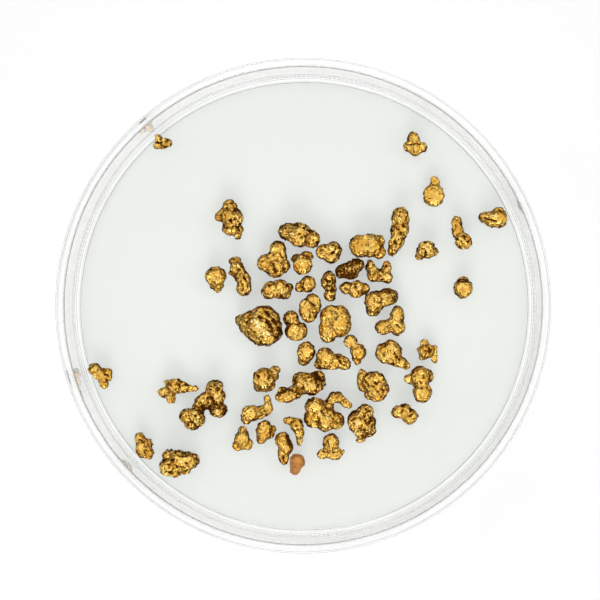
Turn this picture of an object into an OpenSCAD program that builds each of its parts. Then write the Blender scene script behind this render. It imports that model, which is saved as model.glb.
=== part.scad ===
// Clear shallow sample dish holding loose gold nuggets.
// Origin: centre of the dish's underside, on the surface it stands on. +Z is up.

/* [Dish] */
// Outside diameter at the rim
dish_d = 90; // [90:1:110]
// Overall height
dish_h = 15; // [12:0.5:20]
// Wall thickness at the rim
wall_t = 1.7; // [1.2:0.1:1.8]
// How much narrower the wall's outside is at the foot than at the rim, on each side
draft = 0.3; // [0:0.1:0.4]
// Thickness of the floor
floor_t = 1.5; // [1:0.1:2]
// Radius where the inside wall meets the floor
corner_r = 0.8; // [0.4:0.1:0.8]
// Radius of the two edges of the rim
rim_r = 0.5; // [0.2:0.1:0.55]

/* [Foot ring] */
// Height of the ring that the dish stands on
foot_h = 0.5; // [0.3:0.1:1]
// Width of that ring
foot_w = 1.4; // [1:0.1:3]
// How far the ring lies inside the foot of the wall
foot_in = 0.5; // [0:0.1:1]

/* [Nuggets] */
// Size of every nugget in proportion to its drawn size, about its own place
nugget_size = 1; // [0.7:0.05:1]
// Facets around each rounded lobe of a nugget
lobe_sides = 10; // [6:2:10]

/* [Hidden] */
arc_steps = 6;
facet_turn = 7;
rim_outer = dish_d / 2;
rim_inner = rim_outer - wall_t;
floor_z = foot_h + floor_t;
base_outer = rim_outer - draft;
base_inner = rim_inner - draft;
base_edge_r = 0.6;
foot_outer = base_outer - foot_in - base_edge_r;

// Half of a lobe's section, for a half width and half height of 1: flattened above and below
lobe_section = [[0, -1], [0.6, -1], [0.93, -0.57], [1, 0.03], [0.9, 0.63], [0.55, 1], [0, 1]];

// Each nugget: name, place [x, y], height, and its lobes.
// A lobe: place from the nugget's own middle [x, y], half width, half depth, turn in degrees.
nuggets = [
    ["clover", [-26.5, 30.6], 1.5, [
        [-0.85, 1.05, 0.75, 0.75, 0], [-1.2, -0.5, 0.75, 0.75, 0], [0.1, -0.4, 0.85, 0.85, 0],
        [1.1, 0.1, 0.75, 0.85, 0], [0.2, 0.6, 0.8, 0.65, 10]]],
    ["trefoil", [20.9, 30.2], 1.8, [
        [-0.3, 1.2, 1.05, 1.15, 0], [-0.9, -0.5, 1.25, 0.9, -20], [1.1, -0.5, 1.2, 0.9, 15],
        [0, -1.2, 0.9, 0.9, 0]]],
    ["leaf", [24.4, 21.3], 1.5, [
        [0, -0.6, 1.9, 2.1, 0], [-0.6, -0.1, 1.4, 1.3, 0], [0.35, 1.3, 0.9, 1.75, 15]]],
    ["flame", [-13.8, 16.4], 2.8, [
        [-0.1, 2.1, 1.4, 1.35, 0], [-1.8, 0.6, 1.1, 0.9, 40], [0.4, 0, 1.95, 2.1, 0],
        [0, -1.8, 1.5, 1.3, 0], [1.5, -2.5, 0.85, 1.35, -10]]],
    ["drop", [35.6, 16.4], 2.2, [
        [0.9, 0.1, 1.6, 1.9, 0], [-1, 0, 1.8, 1.05, -10], [-0.1, -0.2, 1.5, 1.5, 0]]],
    ["finger", [17.8, 14], 2.3, [
        [0.3, 2.3, 1.6, 2.2, -5], [0.2, 0.2, 1.6, 2.4, -10], [-0.4, -2, 1.3, 1.9, -25],
        [-1.1, -3.6, 0.8, 1.1, -15]]],
    ["peg", [29.6, 13.5], 1.9, [
        [-0.9, 2.1, 1, 1.1, 0], [-0.7, 0.4, 1, 1.7, 10], [0.3, -1.3, 1.45, 1.7, 40]]],
    ["slab", [-0.7, 13.3], 3.2, [
        [-2, 0.5, 2.1, 1.7, -5], [-0.1, 0, 2.3, 2.3, -15], [2, -0.8, 1.8, 1.7, -25]]],
    ["brick", [11.8, 11.2], 2.8, [
        [-1.2, 0, 2.1, 2.2, 0], [0.8, 0.1, 2.1, 2.3, 0], [2.4, 0.9, 1.1, 1.3, 0],
        [2.4, -1.1, 1.2, 1.35, 0]]],
    ["dome", [23, 10.4], 1.9, [
        [0, 0.1, 1.8, 1.6, 0], [-1.2, -0.9, 0.8, 0.85, 0], [1.3, -0.3, 0.9, 0.8, -20]]],
    ["button", [4.7, 10.1], 2.4, [
        [-0.7, 0, 1.7, 1.5, 0], [0.8, 0.3, 1.7, 1.6, 0], [0.5, -0.7, 1.6, 1.5, 0],
        [1, 1.1, 1, 0.9, 0]]],
    ["boot", [-5.6, 8.6], 3, [
        [0.8, 2, 1.5, 1.5, 0], [-1.4, -0.6, 1.7, 1.6, 0], [0.2, -1.5, 1.8, 1.75, 0],
        [1.8, -1.2, 1.2, 1.3, 0], [0.6, 0.4, 1.8, 1.5, 0]]],
    ["knob", [-0.3, 8.1], 2.5, [
        [0.1, -0.4, 1.8, 1.8, 0], [0.9, 1.1, 1.1, 1, 0], [-1, 0.7, 1, 0.8, 20]]],
    ["coal", [8.6, 6.8], 2.6, [
        [-1, -0.3, 1.7, 1.4, 20], [1, 0.6, 1.8, 1.4, 25], [0.3, -0.4, 1.8, 1.4, 20]]],
    ["horns", [14, 6.4], 2.2, [
        [-1.4, 0.2, 0.9, 2, 10], [-0.9, -0.4, 1.2, 1.4, 0], [1.6, 0, 0.8, 2, 0],
        [1.7, -1.1, 1, 1, 0], [0.2, -0.8, 1.3, 1, 0]]],
    ["pear", [-16.5, 5.2], 2.2, [
        [0, 0.4, 1.9, 1.75, 0], [0.1, -1, 1.4, 1.1, 0], [0.3, -1.8, 0.6, 0.8, 0]]],
    ["spindle", [-11.9, 5.6], 2.1, [
        [-1, 2.8, 1.1, 0.9, 0], [-0.5, 1.2, 1.3, 1.6, 15], [-1.4, 0.6, 0.7, 0.7, 0],
        [0.5, -0.6, 1.3, 1.7, 25], [0.7, -2.4, 1.35, 1.4, -10]]],
    ["stack", [4.6, 4], 2.1, [
        [0.1, 0.7, 1.4, 1.9, -10], [0.4, -1.9, 1.2, 1.2, 0], [0.6, -0.8, 1, 1, 0]]],
    ["pea", [0.3, 4], 2, [
        [0.5, 0.1, 1.4, 1.45, 0], [-1, -0.4, 0.95, 0.9, 10]]],
    ["bean", [-4.9, 3.1], 2.6, [
        [-1.2, -0.2, 1.85, 1.55, 25], [0.5, 0, 1.6, 1.8, 5], [2, 0.3, 0.8, 0.8, 15],
        [1.2, -0.7, 1.2, 1.2, -10]]],
    ["loaf", [9.5, 3.1], 2.2, [
        [-1.2, 0.2, 1.5, 1.1, 0], [0.4, 0, 1.5, 1.6, 0], [1.7, 0.1, 1.2, 1, -15]]],
    ["bead", [29.9, 3.4], 2.3, [
        [0, -0.1, 1.8, 1.7, 0], [0, 1.1, 1.1, 0.9, 0], [-0.1, -1.2, 1, 0.8, 0]]],
    ["block", [14.6, 0.8], 3, [
        [-1.4, -0.1, 1.8, 2.1, 0], [1, 0.8, 1.9, 1.6, 0], [2, 1, 1, 1.2, 0],
        [-1.6, -1.7, 1.2, 1.1, 0]]],
    ["mitten", [1, -0.2], 2.4, [
        [-0.2, -0.7, 1.6, 2.3, 15], [0.8, 1.3, 1.3, 1.1, -30], [1.1, 0, 1.1, 1.3, 0]]],
    ["wedge", [16.5, -3], 2.3, [
        [1, 1.2, 1.3, 1.8, -10], [-1.5, -1.1, 1.6, 1.3, 0], [1.1, -1, 1.3, 1.5, 0],
        [0.2, -0.5, 1.5, 1.3, 30]]],
    ["shield", [5.9, -3.4], 2.7, [
        [-1, 1.2, 1.8, 2.3, 0], [0.8, 1.1, 2, 2.3, 0], [1, -0.5, 2, 2, 0],
        [-1.3, -1.2, 1.7, 2.3, 0]]],
    ["lemon", [-8.1, -3.8], 4.6, [
        [0.6, 0, 3.4, 3.8, 0], [-3, 0.8, 1.9, 1.2, -25], [-1.5, 0.3, 2.5, 2.5, -20],
        [2.3, -0.9, 1.8, 2.4, 0]]],
    ["gourd", [-1.8, -3.8], 2.3, [
        [-0.6, 1.4, 1.35, 1.4, 0], [0, -1, 1.7, 1.75, 0], [0.9, -0.9, 1.5, 1.75, 0]]],
    ["fork", [9.5, -8], 2, [
        [-0.7, 1.3, 1.2, 1.2, 0], [0.7, -0.6, 1.5, 1.4, -30], [0.4, -1.7, 0.8, 1.4, 10]]],
    ["star", [23.2, -8.5], 1.5, [
        [0, 0, 1.3, 1.3, 0], [-0.5, 1.2, 0.75, 1, 0], [-1.3, 0.3, 0.8, 0.5, 0],
        [1.2, -1, 0.6, 1.3, 20], [1.3, 0.3, 0.5, 0.8, 0], [-0.9, -1, 0.6, 0.7, 0]]],
    ["tooth", [0.5, -8.9], 2.3, [
        [0, 0.3, 1.7, 1.9, 0], [-0.4, -1.2, 1.1, 1.3, 0]]],
    ["fish", [16.6, -9], 2.4, [
        [-1.3, 0.2, 1.85, 1.9, 0], [0, 0.2, 1.8, 2.4, 20], [1.1, -1.3, 1.7, 1.2, -30],
        [2.4, -2, 1.1, 0.65, -35]]],
    ["tent", [5.4, -10.1], 2.7, [
        [-1.3, 0.3, 1.8, 2.2, 15], [-2.3, -0.9, 1.3, 0.9, 10], [0, -0.4, 2, 1.5, -10],
        [2.1, -0.7, 1.4, 1.3, -25], [1.1, 0.2, 0.9, 1, 0]]],
    ["heart", [-38.4, -13], 1.7, [
        [-1, 1.2, 1.2, 1.1, -20], [-0.3, 0, 1.1, 0.9, -45], [1.2, 0.4, 1.2, 0.9, 20],
        [0.7, -1.1, 0.9, 1.6, 15], [1.7, -0.4, 0.7, 0.8, 0]]],
    ["snout", [-6.9, -13.7], 2.6, [
        [-0.6, -0.1, 2, 2.1, 0], [0.9, 0.6, 1.3, 1.3, 0], [1.6, 1.6, 0.75, 0.8, 0],
        [0.2, -1.3, 1.4, 1.1, 0], [-1.3, -1.3, 1.2, 1.1, 0]]],
    ["bust", [21.7, -14.7], 2.8, [
        [0.2, 1.5, 1.8, 1.9, 0], [-1.7, 0.9, 1.2, 0.9, 0], [1.6, 1.6, 1, 1.2, 0],
        [0.5, -1.4, 1.7, 1.95, 0]]],
    ["helmet", [13, -14.9], 2.6, [
        [-2, 1, 0.95, 2.1, 0], [0.2, 0.6, 2.1, 2, 0], [0.7, -1.2, 1.9, 1.9, 0],
        [-0.3, -1.6, 1.2, 1.2, 0], [1.8, -0.3, 1.1, 1.6, 15]]],
    ["peanut", [-0.8, -15], 3.6, [
        [0.4, 0.8, 1.8, 1.9, 0], [2.2, 0.4, 2.2, 2.2, 0], [3.6, 0.95, 1.4, 1.95, 0],
        [-2.5, -2, 2.1, 1.2, 5], [-0.8, -1.2, 1.9, 1.3, 20], [-3, -1.1, 1.2, 0.8, -10]]],
    ["boat", [-23.7, -15.9], 1.8, [
        [-0.4, 0.8, 1.7, 1.4, -10], [-1.9, 1.5, 0.7, 0.7, 0], [0.8, 0.7, 1.3, 1, -20],
        [2.4, 0.4, 1.5, 0.6, -5], [-2.3, -0.5, 1.5, 0.8, -10], [-1.3, -1.4, 0.85, 1.1, 10]]],
    ["cluster", [-17.4, -17.4], 3.1, [
        [0.8, 2, 1.6, 1.4, 0], [1.4, 0.5, 1.4, 1.3, 0], [-0.6, 0.3, 1.6, 1.1, 10],
        [-1.9, -0.6, 1.2, 1, 30], [1.4, -2, 1.6, 1.5, 0], [0.1, -1.1, 1.2, 1, 0],
        [-4.2, -3.3, 1.6, 1.4, 0], [-2.7, -3.6, 1.6, 1.7, 0], [-3.5, -4.6, 1.5, 1.3, 0],
        [-2.6, -2.2, 1.2, 1.2, 0]]],
    ["snail", [-8.4, -19.4], 2.2, [
        [-1.5, -0.8, 1.8, 1.5, 15], [0.2, -0.6, 1.9, 1.1, 20], [1.7, 0.2, 0.85, 1.3, 0],
        [1.6, 1.7, 0.6, 1.1, 10], [-2.4, -1.8, 0.9, 1, 0]]],
    ["crown", [3.7, -20.3], 3.4, [
        [-1.5, 1.1, 1.9, 2.1, 20], [-1.9, -0.8, 1.7, 1.7, 0], [0.5, -0.9, 2, 2.3, 0],
        [2.2, -1.2, 1.6, 1.6, 0], [0.6, 1.2, 1.2, 1.4, 0], [1.7, 2.8, 0.9, 1.5, -30],
        [2.8, 3.2, 1.2, 0.9, -35], [4.1, 2.2, 1.4, 0.7, -40]]],
    ["crumb", [19.1, -20.2], 2, [
        [-1.5, 0.3, 1.2, 1.1, 0], [-0.2, 0.5, 1.3, 1.3, 0], [0.8, -0.5, 1.4, 1.4, -30],
        [1.6, -0.4, 0.9, 0.8, -30]]],
    ["hook", [10.8, -21.9], 2.9, [
        [0.6, 1.9, 1.6, 1.5, 0], [-0.9, 0.2, 1.6, 2.1, 0], [0.9, -0.1, 1.8, 2, 0],
        [1.6, -1.6, 1.1, 0.9, 20], [0.2, -1.9, 1.3, 1.1, 0], [-0.1, -3, 0.9, 0.6, 10]]],
    ["egg", [-7.1, -23.7], 2, [
        [-0.3, 0.3, 1.45, 1.9, -10], [-0.9, -1.3, 0.9, 0.85, 0], [1.3, 0.2, 0.45, 1.1, -10],
        [0.6, -0.5, 0.9, 0.8, 0]]],
    ["crescent", [-1.9, -23.2], 1.7, [
        [-0.6, 1.5, 1.3, 0.75, -5], [0.6, 0.8, 1.2, 1.3, 0], [1.1, -0.6, 0.75, 1.3, 5],
        [1.2, -2, 0.5, 1, 0]]],
    ["bell", [-11.5, -25], 2, [
        [0.1, 1.1, 0.9, 1.2, 0], [-0.1, 0.1, 1.4, 1.5, 0], [-0.7, -1.2, 1.2, 0.9, 0],
        [0.9, -1, 0.95, 1, 0]]],
    ["splinter", [-29.9, -26.4], 1.7, [
        [-0.8, 1.5, 0.85, 1.2, 0], [-0.5, -0.3, 1, 1.7, 0], [0.6, -1, 1, 1.5, 15],
        [0.9, 0.5, 0.7, 0.75, 5]]],
    ["hat", [5.1, -26.5], 2, [
        [0, 0.9, 1.5, 1.6, 0], [-1.3, -1.2, 1.2, 0.9, 10], [0.5, -1.3, 1.6, 1, 0],
        [1.9, -0.9, 0.7, 0.5, 15]]],
    ["post", [-3.6, -26.8], 2.4, [
        [-0.3, 1.6, 1.35, 1.5, 0], [0.3, 0.4, 1.2, 1.5, 10], [-0.2, -1.2, 0.9, 1.9, 5]]],
    ["rock", [-23.3, -29.5], 2.9, [
        [-2, 1.6, 1.2, 1, 0], [-2.2, -0.7, 1.5, 1.6, 0], [-0.2, 0.2, 1.7, 2.3, 0],
        [1.7, 0.4, 2, 1.7, 10], [-0.8, -1.3, 1.4, 1.3, 0], [0.6, -1.4, 1.3, 1, 0]]],
    ["pebble", [-1.3, -29.6], 2.2, [
        [0.1, 0.4, 1.3, 1.45, 10], [-0.2, -0.5, 1.1, 1.2, 10], [-0.5, -1.1, 0.75, 1, 15]]]
];

function nugget_node(n) = str("nugget_", n[0]);

// Points of a round corner, from one angle to another
function arc(centre, radius, from, to) = [
    for (i = [0:arc_steps])
        let (angle = from + (to - from) * i / arc_steps)
        centre + radius * [cos(angle), sin(angle)]
];

// Half of the dish's section, from the middle of the underside outwards
function dish_section() = concat(
    [[0, foot_h], [foot_outer - foot_w, foot_h], [foot_outer - foot_w, 0], [foot_outer, 0],
        [foot_outer, foot_h]],
    arc([base_outer - base_edge_r, foot_h + base_edge_r], base_edge_r, -90, 0),
    arc([rim_outer - rim_r, dish_h - rim_r], rim_r, 0, 90),
    arc([rim_inner + rim_r, dish_h - rim_r], rim_r, 90, 180),
    arc([base_inner - corner_r, floor_z + corner_r], corner_r, 0, -90),
    [[0, floor_z]]
);

module dish() {
    color([0.88, 0.93, 0.93, 0.4])
        rotate_extrude($fn = 180)
            polygon(dish_section());
}

// One rounded lobe, standing on the floor under it; phase turns its facets within its outline
module lobe(l, phase) {
    half_height = min(l[2], l[3]);
    translate([l[0], l[1], half_height])
        rotate(l[4])
            scale([l[2], l[3], half_height])
                rotate(phase)
                    rotate_extrude($fn = lobe_sides)
                        polygon(lobe_section);
}

// A nugget is its lobes run together, flattened to its height
module nugget(n) {
    color(n[0] == "pebble" ? "chocolate" : "goldenrod")
        translate([n[1].x, n[1].y, floor_z])
            scale(nugget_size)
                resize([0, 0, n[2]])
                    union() {
                        for (i = [0:len(n[3]) - 1]) lobe(n[3][i], facet_turn * i);
                    }
}

dish();
for (n = nuggets) {
    nugget(n);
}
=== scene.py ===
import math

import bmesh
import bpy
from mathutils import Matrix, Vector, noise


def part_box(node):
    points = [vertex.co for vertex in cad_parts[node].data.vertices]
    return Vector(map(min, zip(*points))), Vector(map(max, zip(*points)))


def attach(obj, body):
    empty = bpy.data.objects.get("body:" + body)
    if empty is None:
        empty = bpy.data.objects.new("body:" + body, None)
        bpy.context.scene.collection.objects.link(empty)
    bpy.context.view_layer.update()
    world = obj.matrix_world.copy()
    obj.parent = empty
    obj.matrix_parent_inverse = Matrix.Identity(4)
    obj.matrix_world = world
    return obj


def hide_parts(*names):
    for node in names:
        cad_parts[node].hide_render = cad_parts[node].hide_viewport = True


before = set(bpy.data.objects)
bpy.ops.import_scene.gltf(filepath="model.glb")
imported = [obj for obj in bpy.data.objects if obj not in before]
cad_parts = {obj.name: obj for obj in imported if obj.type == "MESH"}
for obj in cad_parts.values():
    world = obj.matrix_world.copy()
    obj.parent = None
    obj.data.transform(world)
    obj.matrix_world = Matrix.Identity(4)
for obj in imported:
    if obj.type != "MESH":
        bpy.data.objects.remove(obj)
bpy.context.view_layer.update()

mm = 0.001
dishLow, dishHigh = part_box("dish")
rimRadius = dishHigh.x - 1e-6
dishHeight = dishHigh.z
print("frame loaded:", len(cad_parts), "nodes, dish", round(rimRadius * 2, 4), "m across")


def addPiece(name, mesh):
    piece = bpy.data.objects.new(name, mesh)
    bpy.context.scene.collection.objects.link(piece)
    return piece


class Wire:
    # a node socket that can stand in a sum
    def __init__(self, look, socket):
        self.look = look
        self.socket = socket

    def join(self, operation, first, second):
        return self.look.node("ShaderNodeMath", {"operation": operation}, {0: first, 1: second})

    def __add__(self, other):
        return self.join("ADD", self, other)

    def __radd__(self, other):
        return self.join("ADD", other, self)

    def __sub__(self, other):
        return self.join("SUBTRACT", self, other)

    def __rsub__(self, other):
        return self.join("SUBTRACT", other, self)

    def __mul__(self, other):
        return self.join("MULTIPLY", self, other)

    def __rmul__(self, other):
        return self.join("MULTIPLY", other, self)

    def __truediv__(self, other):
        return self.join("DIVIDE", self, other)

    def __rtruediv__(self, other):
        return self.join("DIVIDE", other, self)


class Look:
    # a material and its node tree
    def __init__(self, name, tree=None):
        if tree is None:
            self.material = bpy.data.materials.new(name)
            self.material.use_nodes = True
            tree = self.material.node_tree
        self.tree = tree
        self.tree.nodes.clear()

    def node(self, kind, settings=None, sockets=None, out=0):
        made = self.tree.nodes.new(kind)
        for key, value in (settings or {}).items():
            setattr(made, key, value)
        for key, value in (sockets or {}).items():
            if isinstance(value, Wire):
                self.tree.links.new(value.socket, made.inputs[key])
            else:
                made.inputs[key].default_value = value
        return Wire(self, made.outputs[out]) if len(made.outputs) else None

    def mixColour(self, factor, first, second):
        settings = {"data_type": "RGBA"}
        first = first if isinstance(first, Wire) else (*first, 1)
        second = second if isinstance(second, Wire) else (*second, 1)
        return self.node("ShaderNodeMix", settings, {0: factor, 6: first, 7: second}, out=2)

    def ramp(self, value, low, high):
        # 0 at low and below, 1 at high and above
        return self.node("ShaderNodeMapRange", {}, {0: value, 1: low, 2: high, 3: 0.0, 4: 1.0})

    def finish(self, shader):
        self.node("ShaderNodeOutputMaterial", {}, {"Surface": shader})
        return self.material


view = {
    "eye": (5.9 * mm, -3.2 * mm, 353 * mm),
    "aim": (-0.7 * mm, 1.1 * mm, 2 * mm),
    "lens": 112.0,
    "clip": (0.01, 20),
}


def makeCamera():
    data = bpy.data.cameras.new("camera")
    data.lens = view["lens"]
    data.clip_start, data.clip_end = view["clip"]
    camera = addPiece("camera", data)
    back = (Vector(view["eye"]) - Vector(view["aim"])).normalized()
    right = Vector((0, 1, 0)).cross(back).normalized()
    up = back.cross(right)
    turn = Matrix((right, up, back)).transposed().to_4x4()
    camera.matrix_world = Matrix.Translation(view["eye"]) @ turn
    bpy.context.scene.camera = camera
    print("camera set:", view["lens"], "mm lens")


light = {
    "floorColour": (0.50, 0.50, 0.50),
    "cloudColour": (0.4, 0.4, 0.4),
    "cloudShare": 0.02,
    "floorGlow": 0.52,
    "glowReach": (0.12, 0.35),
    "glowNear": (1, 1, 1),
    "glowFar": (0.1, 0.1, 0.1),
    "floorSize": 3.0,
    "floorDrop": 0.05 * mm,
    "world": 0.06,
    "boxes": {   # place, width and depth, radiance
        "key": ((0.0, -0.62, 0.50), (0.50, 0.32), 4.2),
        "back": ((0.0, 0.62, 0.46), (0.50, 0.32), 1.8),
        "left": ((-0.62, 0.0, 0.46), (0.50, 0.32), 2.2),
        "right": ((0.62, 0.0, 0.46), (0.50, 0.32), 2.2),
        "top": ((0.0, 0.0, 1.0), (1.5, 1.5), 1.0),
    },
}


def makeFloor():
    bm = bmesh.new()
    bmesh.ops.create_grid(bm, x_segments=4, y_segments=4, size=light["floorSize"])
    bmesh.ops.translate(bm, verts=bm.verts, vec=(0, 0, -light["floorDrop"]))
    mesh = bpy.data.meshes.new("floor")
    bm.to_mesh(mesh)
    bm.free()
    look = Look("paleFloor")
    place = look.node("ShaderNodeTexCoord", out=3)
    cloud = look.node("ShaderNodeTexNoise", {}, {"Vector": place, "Scale": 6.0, "Detail": 2.0})
    tone = look.mixColour(cloud * light["cloudShare"], light["floorColour"], light["cloudColour"])
    away = look.node("ShaderNodeVectorMath", {"operation": "LENGTH"}, {0: place}, out=1)
    near, far = light["glowReach"]
    glow = look.mixColour(look.ramp(away, near, far), light["glowNear"], light["glowFar"])
    shader = look.node("ShaderNodeBsdfPrincipled", {}, {
        "Base Color": tone, "Roughness": 0.9, "Specular IOR Level": 0.0,
        "Emission Color": glow, "Emission Strength": light["floorGlow"]})
    mesh.materials.append(look.finish(shader))
    floor = addPiece("floor", mesh)
    print("floor made:", 2 * light["floorSize"], "m across")


def makeLights():
    for name, (place, size, radiance) in light["boxes"].items():
        data = bpy.data.lights.new(name, "AREA")
        data.shape = "RECTANGLE"
        data.size, data.size_y = size
        data.energy = radiance * math.pi * size[0] * size[1]
        lamp = addPiece("softbox." + name, data)
        lamp.location = place
        lamp.rotation_euler = (-Vector(place)).to_track_quat("-Z", "Y").to_euler()
    world = bpy.data.worlds.new("studio")
    world.use_nodes = True
    bpy.context.scene.world = world
    look = Look("studio", world.node_tree)
    lit = look.node("ShaderNodeBackground", {}, {"Strength": light["world"]})
    look.node("ShaderNodeOutputWorld", {}, {"Surface": lit})
    bpy.context.scene.view_settings.view_transform = "Standard"
    print("lights made:", len(light["boxes"]))


dish = {
    "wall": 1.7 * mm,
    "draft": 0.3 * mm,
    "floor": 1.5 * mm,
    "foot": 0.5 * mm,
    "footWidth": 1.4 * mm,
    "footIn": 0.5 * mm,
    "baseEdge": 0.6 * mm,
    "corner": 0.8 * mm,
    "rimEdge": 0.5 * mm,
    "edgeSteps": 8,
    "steps": 360,
    "hold": 0.06 * mm,
    # painted shade: the floor's tint is darker than the wall's, and the corner tint is a painted
    # shadow of the wall
    "tintWithPaintedShade": (0.825, 0.84, 0.81),
    "cornerShadowTint": (0.72, 0.735, 0.72),
    "wallTint": (0.99, 0.995, 0.99),
    "shadowTint": (0.90, 0.905, 0.90),
    "cornerShadowBand": (5.5 * mm, 3.0 * mm),   # from the rim inwards, where the floor is painted grayer as a painted shadow of the wall
    "cornerShadowShare": 0.45,
    "wallBand": (2.7 * mm, 2.1 * mm),     # where the floor's painted shade gives way to the wall's own tint
    "ribBand": (3.0 * mm, 1.9 * mm),
    "ribTop": (2.5 * mm, 1.2 * mm),       # the ribs fade out between these heights
    "ribPatches": (0.35, 0.65),
    "footEdge": 0.12 * mm,
    "ribs": 327,
    "ribDepth": 0.03 * mm,
    "ior": 1.5,
}
floorTop = dish["foot"] + dish["floor"]


def arc(centre, radius, start, end, steps):
    angles = [math.radians(start + (end - start) * i / steps) for i in range(steps + 1)]
    return [(centre[0] + radius * math.cos(a), centre[1] + radius * math.sin(a)) for a in angles]


def dishProfile():
    # half of the section, from the middle of the underside out and round to the middle inside
    steps = dish["edgeSteps"]
    hold = dish["hold"]
    baseOuter = rimRadius - dish["draft"]
    rimInner = rimRadius - dish["wall"]
    baseInner = rimInner - dish["draft"]
    footOuter = baseOuter - dish["footIn"] - dish["baseEdge"]
    footInner = footOuter - dish["footWidth"]
    small = dish["footEdge"]
    foot, edge, rim, corner = dish["foot"], dish["baseEdge"], dish["rimEdge"], dish["corner"]
    points = [(0, foot), (footInner - 2 * hold, foot), (footInner - hold, foot)]
    points += arc((footInner + small, small), small, 180, 270, 3)
    points += arc((footOuter - small, small), small, 270, 360, 3)
    points += [(footOuter, foot - hold), (footOuter + hold, foot)]
    points += arc((baseOuter - edge, foot + edge), edge, -90, 0, steps)
    points += [(baseOuter + hold / 40, foot + edge + hold),
               (rimRadius - hold / 40, dishHeight - rim - hold)]
    points += arc((rimRadius - rim, dishHeight - rim), rim, 0, 90, steps)
    points += arc((rimInner + rim, dishHeight - rim), rim, 90, 180, steps)
    points += [(rimInner - hold / 40, dishHeight - rim - hold),
               (baseInner + hold / 40, floorTop + corner + hold)]
    points += arc((baseInner - corner, floorTop + corner), corner, 0, -90, steps)
    points += [(baseInner - corner - hold, floorTop), (baseInner - corner - 3 * hold, floorTop),
               (baseInner * 0.6, floorTop), (0, floorTop)]
    return points


def clearPlastic():
    look = Look("clearPlastic")
    place = look.node("ShaderNodeTexCoord", out=3)
    split = look.node("ShaderNodeSeparateXYZ", {}, {0: place})
    x, y, z = (Wire(look, split.socket.node.outputs[i]) for i in range(3))
    angle = look.node("ShaderNodeMath", {"operation": "ARCTAN2"}, {0: y, 1: x})
    rib = look.node("ShaderNodeMath", {"operation": "SINE"}, {0: angle * dish["ribs"]})
    radius = look.node("ShaderNodeMath", {"operation": "SQRT"}, {0: x * x + y * y})
    inWall = look.ramp(radius, *(rimRadius - d for d in dish["ribBand"]))
    patches = look.node("ShaderNodeTexNoise", {}, {"Vector": place, "Scale": 40.0, "Detail": 1.0})
    atBase = look.ramp(z, *dish["ribTop"])
    height = rib * inWall * look.ramp(patches, *dish["ribPatches"]) * atBase
    bump = look.node("ShaderNodeBump", {}, {"Strength": 1.0, "Distance": dish["ribDepth"],
                                            "Height": height})
    # painted shade: the floor is tinted darker than the wall, and darker still towards the corner as
    # a painted shadow of the wall
    corner = look.ramp(radius, *(rimRadius - d for d in dish["cornerShadowBand"]))
    corner = corner * corner * dish["cornerShadowShare"]
    tintWithPaintedShade = look.mixColour(corner, dish["tintWithPaintedShade"], dish["cornerShadowTint"])
    inWallTint = look.ramp(radius, *(rimRadius - d for d in dish["wallBand"]))
    tintWithPaintedShade = look.mixColour(inWallTint, tintWithPaintedShade, dish["wallTint"])
    glass = look.node("ShaderNodeBsdfPrincipled", {}, {
        "Base Color": tintWithPaintedShade, "Roughness": 0.0, "IOR": dish["ior"],
        "Transmission Weight": 1.0, "Normal": bump})
    lamp = look.node("ShaderNodeBsdfTransparent", {}, {"Color": (*dish["shadowTint"], 1)})
    shadow = look.node("ShaderNodeLightPath", out=1)
    return look.finish(look.node("ShaderNodeMixShader", {}, {0: shadow, 1: glass, 2: lamp}))


def makeDish():
    bm = bmesh.new()
    verts = [bm.verts.new((x, 0, z)) for x, z in dishProfile()]
    edges = [bm.edges.new(pair) for pair in zip(verts, verts[1:])]
    bmesh.ops.spin(bm, geom=verts + edges, cent=(0, 0, 0), axis=(0, 0, 1), dvec=(0, 0, 0),
                   angle=2 * math.pi, steps=dish["steps"], use_merge=True,
                   use_normal_flip=False, use_duplicate=False)
    bmesh.ops.remove_doubles(bm, verts=bm.verts, dist=1e-7)
    bmesh.ops.recalc_face_normals(bm, faces=bm.faces)
    for face in bm.faces:
        face.smooth = True
    mesh = bpy.data.meshes.new("dishShell")
    bm.to_mesh(mesh)
    bm.free()
    mesh.materials.append(clearPlastic())
    shell = addPiece("dishShell", mesh)
    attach(shell, "dish")
    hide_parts("dish")
    print("dish made:", len(mesh.polygons), "faces")


nugget = {
    "seed": 5,
    "voxel": 0.10,        # mm
    "smoothing": 3,
    "closing": 0.50,      # mm, radius of the narrowest notch that stays open
    "swell": 0.13,        # mm
    "outMost": 0.12,      # mm that the relief may stand out
    "lumps": ((0.6, 0.14), (1.3, 0.08), (2.8, 0.04)),
    "cells": (0.95, 0.30, 0.07),   # facets a mm, their slope, depth of their edges
    "pits": (1.4, 0.24, 0.13),     # pits a mm, share left whole, depth
    "groove": 0.20,       # mm deep at strength 1
    "clearance": 0.02,    # mm above the dish's floor
    "rough": 0.9,         # for a nugget that names none
    "creaseWidth": 0.22,
    "bend": (0.35, 1.3),    # how far the facets' pattern wanders in mm, and how quickly
    "leanSpread": 7.3,
    "pitRange": 0.4,
    "hollowOf": (0.5, 1.0, 0.8),   # how much creases, pits and lumps count as hollows
    "smoothShare": 0.4,     # the share of the relief that a nugget of roughness 0 keeps
    "offset": (17.3, 5.1, 9.7),    # sets each nugget's part of the noise apart
    "flankShade": (0.72, 0.5),   # painted shade on the flanks: upward part of the normal where a flank starts to be painted darker, and over what
}
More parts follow.
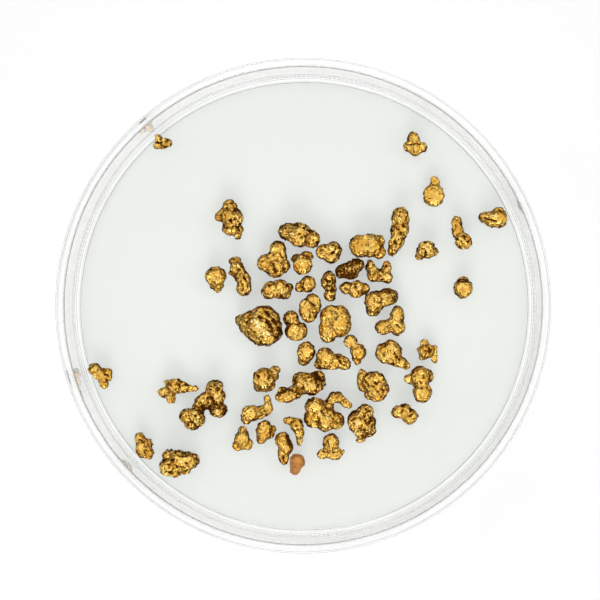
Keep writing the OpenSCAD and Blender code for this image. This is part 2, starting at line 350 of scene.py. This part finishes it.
# What sets single nuggets apart. "at" is the place that the grooves are measured from.
# A groove: from x, y to x, y, half width, strength; a positive strength carves a crease and paints
# it darker, partly oxide and partly painted shade; a negative strength is a painted highlight, paler
# and not carved.
# "swell" is smaller where a neighbour or the dish's wall lies close.
character = {
    "clover": {"at": (-26.5, 30.6), "swell": -0.10, "rough": 0.7, "groovesAndPaintedLight": [
        (-0.3, 1.2, -0.2, -0.9, 0.15, 0.9), (-1.2, 0.1, -0.6, 0, 0.15, 0.7),
        (0.9, 0.7, 1.2, 0.2, 0.15, 0.5)]},
    "trefoil": {"at": (20.9, 30.2), "rough": 0.5, "groovesAndPaintedLight": [
        (-1.4, 1.4, -1.1, 0.4, 0.12, 0.7), (-1.5, 0, 1, 0.1, 0.12, 0.9),
        (-0.2, 0.1, -0.3, -1.8, 0.15, 0.5), (0.9, -0.2, 0.6, -1.5, 0.12, 0.5)]},
    "leaf": {"at": (24.4, 21.3), "rough": 0.3, "groovesAndPaintedLight": [(0.2, -1, -0.3, -2.2, 0.25, 0.25)]},
    "flame": {"at": (-13.8, 16.4), "groovesAndPaintedLight": [
        (-1, 2.8, 0.6, 2.9, 0.2, 0.6), (-0.8, 1.9, 0.3, 1.4, 0.15, 0.8),
        (0.9, 2.5, 1.2, 1.4, 0.15, 0.6), (-1.9, 0.9, -1.5, 0.2, 0.2, 0.8),
        (0.2, -0.5, 0.4, -0.9, 0.2, 1), (1, 0, 1.3, -0.9, 0.15, 0.6),
        (1.3, -1.6, 1.8, -2.2, 0.15, 0.8)]},
    "drop": {"at": (35.6, 16.4), "rough": 0.4, "groovesAndPaintedLight": [
        (-2, 0.1, 0.3, -0.7, 0.15, 1), (-0.4, 1.1, 1.6, 1.2, 0.35, 0.5),
        (0, -1.2, 1.2, -1.6, 0.15, 0.6), (-1.2, 0.5, 0.4, 0.1, 0.2, -0.5)]},
    "finger": {"at": (17.8, 14), "groovesAndPaintedLight": [
        (1.5, 2.5, 1.7, 0.5, 0.25, 0.5), (-1.1, 0.9, -0.1, 0.2, 0.15, 0.6),
        (0.6, 1.6, 1.1, 0.8, 0.2, 0.4), (-0.9, -2.1, -0.5, -2.4, 0.3, 1),
        (0.9, -1.5, 0.4, -2.6, 0.15, 0.6)]},
    "peg": {"at": (29.6, 13.5), "groovesAndPaintedLight": [
        (-1.4, 2.6, -0.9, 1.6, 0.15, 0.5), (-0.2, 1.9, -0.1, 0.8, 0.15, 0.6),
        (0.2, 0.4, 1, -0.4, 0.2, 0.7), (-1, -0.5, -0.3, -1.6, 0.15, 0.4),
        (1.2, -0.8, 1, -1.9, 0.15, 0.5)]},
    "slab": {"at": (-0.7, 13.3), "swell": 0.05, "groovesAndPaintedLight": [
        (-2.6, 1.6, -0.5, 1.9, 0.4, 0.7), (-0.4, 1.5, 2.5, 0.6, 0.2, 0.6),
        (-2.7, 0.3, -1.5, 0.8, 0.15, 0.5), (0.2, 0.2, 0.5, -1, 0.2, 0.7),
        (1, -0.3, 1, -0.3, 0.25, 0.9), (2, -0.8, 2, -0.8, 0.2, 0.8),
        (1.2, -1.4, 1.2, -1.4, 0.2, 0.8), (2.6, 0, 2.6, 0, 0.2, 0.7),
        (-1.6, 0.2, -0.4, 0, 0.3, -0.5)]},
    "brick": {"at": (11.8, 11.2), "swell": 0.05, "rough": 0.5, "groovesAndPaintedLight": [
        (0, 0.9, 0.4, -0.4, 0.25, 0.3), (0.1, 1.6, 0.2, 1.1, 0.15, 0.4)]},
    "dome": {"at": (23, 10.4), "rough": 1.0, "groovesAndPaintedLight": [
        (-0.4, 0.2, -0.1, -0.5, 0.15, 0.5), (0.8, -0.2, 0.9, -0.5, 0.15, 0.6)]},
    "button": {"at": (4.7, 10.1), "swell": 0.00, "groovesAndPaintedLight": [(1, 1.4, 2.2, 0.6, 0.2, 0.6)]},
    "boot": {"at": (-5.6, 8.6), "rough": 0.7, "groovesAndPaintedLight": [
        (-0.1, -0.9, 0.3, -2.2, 0.3, 0.9), (-0.2, 0.9, 0.9, 0.3, 0.15, 0.4),
        (1.3, 1.1, 1.9, 0.4, 0.15, 0.6), (1.7, -1.6, 2.4, -1.9, 0.15, 0.5)]},
    "knob": {"at": (-0.3, 8.1), "rough": 0.5, "groovesAndPaintedLight": [
        (-0.9, 1, -0.2, 0.2, 0.2, 0.35), (0.9, 0.6, 1.3, 0, 0.15, 0.4)]},
    "coal": {"at": (8.6, 6.8), "swell": 0.05, "dark": 0.8},
    "horns": {"at": (14, 6.4), "groovesAndPaintedLight": [
        (-0.6, 1.4, 0.2, 0.2, 0.2, 0.9), (0.2, 0.9, 1, -0.6, 0.2, 0.5),
        (-1.6, -0.6, -1.2, -1.6, 0.15, 0.5)]},
    "pear": {"at": (-16.5, 5.2), "rough": 0.45, "groovesAndPaintedLight": [
        (-1.1, 1.5, 0.8, 1.6, 0.2, 0.45), (0.1, -2.1, 0.3, -2.3, 0.15, 0.6)]},
    "spindle": {"at": (-11.9, 5.6), "groovesAndPaintedLight": [
        (-1.1, 3.1, -0.6, 2.5, 0.15, 0.6), (-1.2, 1, 0.2, 1.2, 0.2, 0.5),
        (-0.6, 0.5, 0.4, -0.6, 0.2, 0.5), (0.6, 0.3, 1.3, -1.2, 0.15, 0.9),
        (0.3, -1, 0.6, -2.4, 0.15, 0.6), (1.1, -1.6, 1.3, -3, 0.12, 0.5)]},
    "stack": {"at": (4.6, 4), "swell": 0.05, "dark": 0.2, "groovesAndPaintedLight": [
        (-0.6, 0.9, 0.5, 0.4, 0.2, 0.7), (-0.5, -0.3, 0.6, -0.2, 0.2, 0.7),
        (-0.4, -1.1, 1.2, -1.1, 0.2, 1), (0.9, 1.2, 1, 0.2, 0.2, 0.6)]},
    "pea": {"at": (0.3, 4), "rough": 0.6, "groovesAndPaintedLight": [
        (-0.3, 0.6, -0.6, -0.6, 0.2, 0.8), (0.6, -0.6, 1, -1, 0.15, 0.4)]},
    "bean": {"at": (-4.9, 3.1), "rough": 0.7, "groovesAndPaintedLight": [
        (-0.6, 1.2, -0.2, 0.3, 0.2, 0.6), (0.4, -0.9, 1.1, -1.6, 0.25, 0.7),
        (1, 0.3, 1.2, -0.4, 0.15, 0.6), (-1.6, 0.9, -1.2, 0.6, 0.12, 0.5),
        (1.8, 1, 2.2, 0.2, 0.2, 0.4)]},
    "loaf": {"at": (9.5, 3.1), "rough": 0.7, "groovesAndPaintedLight": [
        (-1.9, 0.1, -1.1, -0.2, 0.15, 0.8), (-0.1, 0.6, 0.7, -0.4, 0.2, 0.7),
        (0.7, -0.4, 1, -1.1, 0.15, 0.7), (-0.4, 1.1, 0.1, 1, 0.15, 0.6)]},
    "bead": {"at": (29.9, 3.4), "rough": 0.5, "groovesAndPaintedLight": [
        (-0.9, 1.1, 0.8, 1.2, 0.35, 0.9), (-1, 0, 1, 0, 0.1, 0.4)]},
    "block": {"at": (14.6, 0.8), "rough": 0.8, "groovesAndPaintedLight": [
        (-2, 1.8, 2, 1.6, 0.3, 0.5), (1.4, 1.9, 2.4, 0.2, 0.3, 0.5),
        (-2, 0.4, -0.6, -0.2, 0.12, 0.4), (-1.2, -2.4, -0.8, -2, 0.2, 0.5)]},
    "mitten": {"at": (1, -0.2), "rough": 0.5, "groovesAndPaintedLight": [
        (-0.5, 1.5, 0.4, 0.8, 0.14, 1), (0.4, 0.8, 1.4, 0.3, 0.14, 1),
        (0.2, -1.6, 0.1, -1.9, 0.3, 0.9), (-0.2, -0.2, 0.1, -1, 0.12, 0.4)]},
    "wedge": {"at": (16.5, -3), "rough": 0.6, "groovesAndPaintedLight": [
        (1, -0.6, 1.9, -1.2, 0.15, 0.9), (1.2, -1.3, 1.7, -1.9, 0.12, 0.6),
        (0.6, 1.5, 1.4, 0.6, 0.15, 0.3), (-2.6, 0.1, -1.2, 0.2, 0.15, 0.4)]},
    "shield": {"at": (5.9, -3.4), "rough": 0.6, "groovesAndPaintedLight": [
        (-0.6, 2.6, -0.9, -0.5, 0.15, 0.35), (0.4, 2.9, 0.1, 0.6, 0.15, 0.35),
        (-0.9, 0.1, -0.4, -1, 0.25, 0.35), (-0.2, -2.9, 1.3, -2.5, 0.25, 0.7)]},
    "lemon": {"at": (-8.1, -3.8), "rough": 0.8, "groovesAndPaintedLight": [
        (-1, 0.9, 1.6, -2, 0.55, -0.9), (-0.6, 2.2, 0.6, 1.6, 0.3, 0.7),
        (1, 3, 3.4, 0.2, 0.3, 0.8), (1.1, 1.4, 2.6, -0.8, 0.3, 1),
        (2.6, 1.2, 3.8, -1, 0.2, 0.7), (1.9, -0.9, 3.1, -2.3, 0.25, 0.8),
        (-1, -1.2, 0.6, -2.2, 0.2, 0.7), (-3.9, 1.6, -2.2, 0.5, 0.15, 0.6),
        (-2, -1.6, 1.5, -3.4, 0.4, 0.35)]},
    "gourd": {"at": (-1.8, -3.8), "rough": 0.6, "groovesAndPaintedLight": [
        (-1.4, 0.5, 0.9, 0.5, 0.15, 0.9), (0.6, 1.8, 1.4, 0.8, 0.2, 0.6)]},
    "fork": {"at": (9.5, -8), "rough": 0.5, "groovesAndPaintedLight": [
        (-0.2, 0, 0.8, 0.4, 0.15, 0.7), (0.1, -1, 0.4, -2.2, 0.12, 0.4)]},
    "star": {"at": (23.2, -8.5), "rough": 0.7, "groovesAndPaintedLight": [
        (-0.6, 0.1, 0.6, -0.1, 0.2, 0.9), (0.2, 0.6, 0.9, 0.3, 0.15, 0.7),
        (-0.5, -0.9, -0.1, -0.4, 0.15, 0.6)]},
    "tooth": {"at": (0.5, -8.9), "swell": 0.05, "rough": 0.5, "groovesAndPaintedLight": [
        (-0.7, -1, 0.3, -1.2, 0.12, 0.3)]},
    "fish": {"at": (16.6, -9), "rough": 0.7, "groovesAndPaintedLight": [
        (-0.4, 1.2, -0.2, 0, 0.12, 0.4), (0.3, 0.3, 1.4, -1.3, 0.15, 0.9),
        (-0.5, -0.9, 0.2, -1.5, 0.15, 0.6), (-2.5, 1, -0.8, 2, 0.15, 0.4)]},
    "tent": {"at": (5.4, -10.1), "swell": 0.05, "rough": 0.6, "groovesAndPaintedLight": [
        (0.9, 0.7, 1.6, -0.6, 0.2, 0.9), (1.4, -0.2, 2.6, -0.3, 0.2, 0.9),
        (2.2, -0.9, 2.9, -1.2, 0.25, 0.9)]},
    "heart": {"at": (-38.4, -13), "swell": 0.03, "rough": 0.7, "groovesAndPaintedLight": [
        (-1.9, 1.2, -1, 1.9, 0.25, 0.9), (-1.6, 0.7, -0.5, 0.2, 0.2, 0.7),
        (1.1, 0.1, 1.7, -0.2, 0.25, 1), (1.3, -0.7, 1.6, -0.9, 0.2, 0.8),
        (0, -0.3, 0.3, -1.2, 0.15, 0.5)]},
    "snout": {"at": (-6.9, -13.7), "rough": 0.7, "groovesAndPaintedLight": [
        (-1.8, 0.7, -1.4, 0.5, 0.25, 0.9), (0.5, 1.2, 0.6, -0.2, 0.25, 0.6),
        (0, -0.6, 0.6, -1.8, 0.25, 0.7), (1.5, -0.3, 1.6, -1, 0.2, 0.6)]},
    "bust": {"at": (21.7, -14.7), "rough": 0.5, "groovesAndPaintedLight": [
        (0.5, 1.8, 0.7, 1.3, 0.25, 0.8), (0, 0.7, 0.2, 0.2, 0.2, 0.7),
        (-0.6, -0.4, 0.5, -0.8, 0.15, 0.8), (2, 1.6, 2.1, 0.2, 0.2, 0.5)]},
    "helmet": {"at": (13, -14.9), "rough": 0.7, "groovesAndPaintedLight": [
        (-1.5, 0.9, -0.8, -0.4, 0.2, 0.9), (-0.5, 0.3, 1.8, -2.2, 0.12, 0.6),
        (0.4, 1.6, 2, 0.3, 0.12, 0.5), (0.2, 0.6, 2.1, -1, 0.12, 0.5),
        (-1, -1, 0.2, -2, 0.12, 0.5)]},
    "peanut": {"at": (-0.8, -15), "swell": 0.05, "groovesAndPaintedLight": [
        (2.6, 2.2, 4.4, 1.2, 0.6, 0.9), (3, 1.2, 3.6, 0.2, 0.3, 0.8),
        (-0.9, 1.6, 0.5, 1.9, 0.3, 0.6), (-3.4, -0.6, -1.2, -0.8, 0.25, 1),
        (-1.2, -1, 0, -1.6, 0.2, 0.7), (0.2, 0.6, 1.2, -0.9, 0.2, 0.4),
        (0, -1.7, 3.5, -1.6, 0.2, 0.6)]},
    "boat": {"at": (-23.7, -15.9), "groovesAndPaintedLight": [
        (-1.6, 1.3, -0.9, 0.9, 0.2, 0.6), (-0.4, 0.2, 0.6, -0.4, 0.15, 0.5),
        (0.2, 1.2, 1.6, 1, 0.12, 0.4), (1.7, 0.2, 2.9, 0.1, 0.15, 0.5)]},
    "cluster": {"at": (-17.4, -17.4), "rough": 1.25, "dark": 0.18, "groovesAndPaintedLight": [
        (-0.8, 1, 0.4, -0.3, 0.25, 0.8), (0.6, -0.6, 1.4, -0.9, 0.25, 0.8),
        (1.4, -1.6, 1.4, -1.6, 0.3, 0.8), (-1.6, -1.4, -0.4, -2, 0.2, 0.9),
        (-3.8, -4, -2.8, -5, 0.25, 0.8), (-2.9, -2.9, -2.3, -4, 0.2, 0.7),
        (0.4, 2.4, 1.4, 1.6, 0.2, 0.7)]},
    "snail": {"at": (-8.4, -19.4), "rough": 0.5, "groovesAndPaintedLight": [
        (0.2, 0.1, 0.5, -0.7, 0.2, 0.6), (-0.9, -1.6, 1.6, -0.9, 0.2, 0.5),
        (0.9, 0.4, 1.3, -0.4, 0.15, 0.5)]},
    "crown": {"at": (3.7, -20.3), "dark": -0.12, "groovesAndPaintedLight": [
        (-0.1, 0.6, 0.3, -0.6, 0.2, 0.8), (-1.7, -1, -0.8, -2, 0.2, 0.8),
        (0.4, 2.6, 1.6, 2, 0.15, 0.7), (1.4, 0.2, 1.9, -1, 0.15, 0.6),
        (2.3, 1.9, 3.2, 1, 0.3, 1), (-0.6, -1.6, -0.5, -2.6, 0.15, 0.6)]},
    "crumb": {"at": (19.1, -20.2), "rough": 1.1, "groovesAndPaintedLight": [
        (-0.8, 0.6, -0.4, -0.2, 0.2, 0.5), (0.2, 0, 0.8, -0.9, 0.2, 0.5),
        (0.9, 0.9, 1.4, 0.4, 0.2, 0.7)]},
    "hook": {"at": (10.8, -21.9), "rough": 1.1, "groovesAndPaintedLight": [
        (0.9, 2.6, 1.7, 1.2, 0.35, 0.6), (-0.4, -1, 0.6, -1.6, 0.2, 0.7),
        (0.6, 0.3, 1.2, -0.8, 0.2, 0.5), (0, -2.4, 0.9, -2.3, 0.15, 0.6)]},
    "egg": {"at": (-7.1, -23.7), "rough": 0.5, "groovesAndPaintedLight": [
        (0.9, 0.6, 1, -0.6, 0.12, 1), (-0.3, -1, 0.6, -1.1, 0.12, 0.4)]},
    "crescent": {"at": (-1.9, -23.2), "rough": 0.6, "groovesAndPaintedLight": [
        (-0.7, 1.5, 0.2, 1.7, 0.2, 0.5), (0.5, 0.9, 1.1, -0.5, 0.2, 0.5)]},
    "bell": {"at": (-11.5, -25), "rough": 0.5, "groovesAndPaintedLight": [(0.9, 0.3, 0.6, -0.9, 0.12, 0.3)]},
    "splinter": {"at": (-29.9, -26.4), "groovesAndPaintedLight": [
        (-0.9, 1.3, 0.1, 1, 0.2, 0.7), (-1, -0.5, -0.9, -1.5, 0.2, 0.7),
        (0.2, -0.4, 0.7, -1.2, 0.15, 0.5), (0.5, 0.9, 0.8, 0.2, 0.15, 0.7)]},
    "hat": {"at": (5.1, -26.5), "rough": 0.6, "groovesAndPaintedLight": [
        (-0.6, 1.2, -0.3, 0, 0.15, 0.6), (0.6, 1.4, 0.4, -0.6, 0.15, 0.6),
        (-1.6, -0.8, 0.5, -1, 0.15, 0.9), (0.8, -1, 1.5, -0.8, 0.15, 0.7)]},
    "post": {"at": (-3.6, -26.8), "rough": 0.6, "groovesAndPaintedLight": [
        (0.6, 2.6, 1.2, 0.4, 0.35, 1), (-0.2, -1.2, -0.1, -2.6, 0.15, 0.8),
        (-0.9, 1.6, -0.7, 0, 0.12, 0.3)]},
    "rock": {"at": (-23.3, -29.5), "rough": 1.1, "groovesAndPaintedLight": [
        (-1.6, 1.2, -1, -0.2, 0.2, 0.5), (0.6, 1.6, 2.8, 1.8, 0.3, 0.8),
        (-0.3, 0.6, 0, -0.8, 0.2, 0.6), (-2.6, -1, -1.4, -2, 0.25, 0.5),
        (0.8, -0.6, 1.2, -1.6, 0.2, 0.5)]},
    "pebble": {"at": (-1.3, -29.6), "rough": 0.12, "groovesAndPaintedLight": [
        (-0.9, 1.2, 0.2, 1.4, 0.4, 0.4)]},
}


def remeshed(mesh, voxel):
    holder = addPiece("holder", mesh)
    remesh = holder.modifiers.new("remesh", "REMESH")
    remesh.mode = "VOXEL"
    remesh.voxel_size = voxel
    graph = bpy.context.evaluated_depsgraph_get()
    fresh = bpy.data.meshes.new_from_object(holder.evaluated_get(graph))
    bpy.data.objects.remove(holder)
    return fresh


def swollen(mesh, distance):
    # smooths a mesh, then moves its surface out by a distance
    bm = bmesh.new()
    bm.from_mesh(mesh)
    for _ in range(nugget["smoothing"]):
        bmesh.ops.smooth_vert(bm, verts=bm.verts, factor=0.5, use_axis_x=True,
                              use_axis_y=True, use_axis_z=True)
    bm.normal_update()
    for vert in bm.verts:
        vert.co += vert.normal * distance
    bm.to_mesh(mesh)
    bm.free()


def relief(place, rough):
    # height of the surface at a place in mm, and how low it lies: 1 in a hollow, -1 on a crest
    far, quick = nugget["bend"]
    bend = far * noise.noise_vector(place * quick)
    cells, slope, edge = nugget["cells"]
    spot = place * cells + bend
    distances, centres = noise.voronoi(spot)
    near, further = distances[:2]
    lean = 2 * noise.cell_vector(centres[0] * nugget["leanSpread"]) - Vector((1, 1, 1))
    crease = max(0.0, 1 - (further - near) / nugget["creaseWidth"]) ** 2
    pits, whole, deep = nugget["pits"]
    pit = max(0.0, noise.noise(place * pits + Vector((7, 3, 5))) - whole) / nugget["pitRange"]
    height = slope * lean.dot(spot - centres[0]) - edge * crease - deep * pit
    low = 0.0
    for scale, size in nugget["lumps"]:
        wave = noise.noise(place * scale + bend)
        height += wave * size * 2
        low = low * 0.7 - wave
    ofCrease, ofPit, ofLump = nugget["hollowOf"]
    hollow = ofCrease * crease + ofPit * pit + low * ofLump
    share = nugget["smoothShare"]
    return height * (share + (1 - share) * rough), max(-1.0, min(1.0, hollow)) * rough


def markOfGroovesAndPaintedLight(place, groovesAndPaintedLight):
    # how strongly the grooves mark a place seen from above; a positive mark is a crease darkened
    # partly as painted shade, and a negative mark is a painted highlight
    x = place.x + 0.22 * noise.noise(place * 1.7)
    y = place.y + 0.22 * noise.noise(place * 1.7 + Vector((4, 9, 2)))
    mark = 0.0
    for x1, y1, x2, y2, width, strength in groovesAndPaintedLight:
        dx, dy = x2 - x1, y2 - y1
        along = ((x - x1) * dx + (y - y1) * dy) / (dx * dx + dy * dy + 1e-9)
        along = max(0.0, min(1.0, along))
        away = ((x - x1 - along * dx) ** 2 + (y - y1 - along * dy) ** 2) / (width * width)
        if away < 6:
            mark += strength * math.exp(-away)
    return mark


def makeNugget(index, name, look):
    nature = character[name]
    rough = nature.get("rough", nugget["rough"])
    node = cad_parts["nugget_" + name]
    bm = bmesh.new()
    bm.from_mesh(node.data)
    bmesh.ops.scale(bm, verts=bm.verts, vec=(1 / mm, 1 / mm, 1 / mm))
    bmesh.ops.remove_doubles(bm, verts=bm.verts, dist=1e-4)
    plain = bpy.data.meshes.new("plain")
    bm.to_mesh(plain)
    bm.free()
    mesh = remeshed(plain, nugget["voxel"])
    swollen(mesh, nugget["closing"])
    mesh = remeshed(mesh, nugget["voxel"])
    swollen(mesh, nature.get("swell", nugget["swell"]) - nugget["closing"])

    bm = bmesh.new()
    bm.from_mesh(mesh)
    bm.normal_update()
    hollowLayer = bm.verts.layers.float.new("hollow")
    stainAndFlankShadeLayer = bm.verts.layers.float.new("dark")
    shift = Vector(nugget["offset"]) * (index + 1)
    origin = Vector((*nature["at"], 0))
    groovesAndPaintedLight = nature.get("groovesAndPaintedLight", ())
    lowest = floorTop / mm + nugget["clearance"]
    flankShadeStart, flankShadeOver = nugget["flankShade"]
    moves = []
    for vert in bm.verts:
        height, hollow = relief(vert.co + shift, rough)
        upward = max(0.0, vert.normal.z)
        # the grooves' marks carve creases and, through the hollow layer, paint them darker, partly
        # as painted shade; negative marks only make the place paler, a painted highlight
        mark = markOfGroovesAndPaintedLight(vert.co - origin, groovesAndPaintedLight) * min(1.0, upward * 2)
        height = min(height, nugget["outMost"]) - nugget["groove"] * max(0.0, mark)
        moves.append(height * vert.normal)
        # painted shade: the further a flank turns from facing straight up, the darker it is painted;
        # the dark layer adds this painted shade to the nugget's own stain
        flankShade = min(1.0, max(0.0, (flankShadeStart - vert.normal.z) / flankShadeOver))
        vert[hollowLayer] = hollow + mark
        vert[stainAndFlankShadeLayer] = nature.get("dark", 0.0) + flankShade
    for vert, move in zip(bm.verts, moves):
        vert.co += move
        vert.co.z = max(vert.co.z, lowest)
    bmesh.ops.scale(bm, verts=bm.verts, vec=(mm, mm, mm))
    for face in bm.faces:
        face.smooth = True
    bm.to_mesh(mesh)
    bm.free()
    mesh.name = "nugget." + name
    mesh.materials.clear()
    mesh.materials.append(look)
    piece = addPiece("nugget." + name, mesh)
    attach(piece, "nugget_" + name)
    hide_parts("nugget_" + name)
    return len(mesh.polygons)


gold = {
    "pale": (1.0, 0.80, 0.36),
    "bright": (0.93, 0.61, 0.14),
    "deep": (0.72, 0.35, 0.045),
    "brown": (0.11, 0.035, 0.003),
    "patches": (0.35, 0.7),      # where bright gold turns deep
    "crests": (-0.15, -0.8),     # where it turns pale
    "soilAndFlankShade": (0.2, 0.85),         # where it turns brown: oxide in the hollows, and painted shade on the flanks and in the grooves
    "darkToSoilAndShade": 0.75,
    "roughness": 0.27,
    "soilAndShadeRoughness": 0.3,
    "grainRoughness": 0.15,
    "grainDepth": 0.06 * mm,
}


def nuggetGold():
    look = Look("nuggetGold")
    place = look.node("ShaderNodeTexCoord", out=3)
    hollow = look.node("ShaderNodeAttribute", {"attribute_name": "hollow"}, out=2)
    dark = look.node("ShaderNodeAttribute", {"attribute_name": "dark"}, out=2)
    patch = look.node("ShaderNodeTexNoise", {}, {"Vector": place, "Scale": 450.0, "Detail": 3.0})
    grain = look.node("ShaderNodeTexNoise", {}, {"Vector": place, "Scale": 2400.0, "Detail": 3.0})
    warm = look.mixColour(look.ramp(patch, *gold["patches"]), gold["bright"], gold["deep"])
    crested = look.mixColour(look.ramp(hollow + (grain - 0.5), *gold["crests"]), warm, gold["pale"])
    # painted shade: the dark attribute brings in the flanks' painted shade as well as a nugget's own
    # stain, so the brown is partly oxide and partly painted shade
    low = hollow + dark * gold["darkToSoilAndShade"] + (grain - 0.5) * 0.4
    soilAndFlankShade = look.ramp(low, *gold["soilAndFlankShade"])
    colour = look.mixColour(soilAndFlankShade, crested, gold["brown"])
    rough = gold["roughness"] + soilAndFlankShade * gold["soilAndShadeRoughness"]
    rough = rough + (grain - 0.5) * gold["grainRoughness"]
    bump = look.node("ShaderNodeBump", {}, {"Strength": 0.4, "Distance": gold["grainDepth"],
                                            "Height": grain})
    shader = look.node("ShaderNodeBsdfPrincipled", {}, {
        "Base Color": colour, "Metallic": 1.0, "Roughness": rough, "Normal": bump})
    return look.finish(shader)


pebble = {
    "light": (0.72, 0.34, 0.08),
    "dark": (0.36, 0.13, 0.03),
    "metallic": 0.55,
    "roughness": 0.38,
    "grainRoughness": 0.15,
    "grainDepth": 0.05 * mm,
}


def stainedGrain():
    look = Look("stainedGrain")
    place = look.node("ShaderNodeTexCoord", out=3)
    patch = look.node("ShaderNodeTexNoise", {}, {"Vector": place, "Scale": 500.0, "Detail": 4.0})
    grain = look.node("ShaderNodeTexNoise", {}, {"Vector": place, "Scale": 3000.0, "Detail": 2.0})
    colour = look.mixColour(look.ramp(patch, 0.3, 0.7), pebble["light"], pebble["dark"])
    bump = look.node("ShaderNodeBump", {}, {"Strength": 0.25, "Distance": pebble["grainDepth"],
                                            "Height": grain})
    shader = look.node("ShaderNodeBsdfPrincipled", {}, {
        "Base Color": colour, "Metallic": pebble["metallic"],
        "Roughness": pebble["roughness"] + grain * pebble["grainRoughness"], "Normal": bump})
    return look.finish(shader)


def makeNuggets():
    noise.seed_set(nugget["seed"])
    golden = nuggetGold()
    stained = stainedGrain()
    names = sorted(n[len("nugget_"):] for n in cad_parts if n.startswith("nugget_"))
    total = 0
    for index, name in enumerate(names):
        total += makeNugget(index, name, stained if name == "pebble" else golden)
    print("nuggets made:", len(names), "with", total, "faces")


makeCamera()
makeFloor()
makeLights()
makeDish()
makeNuggets()
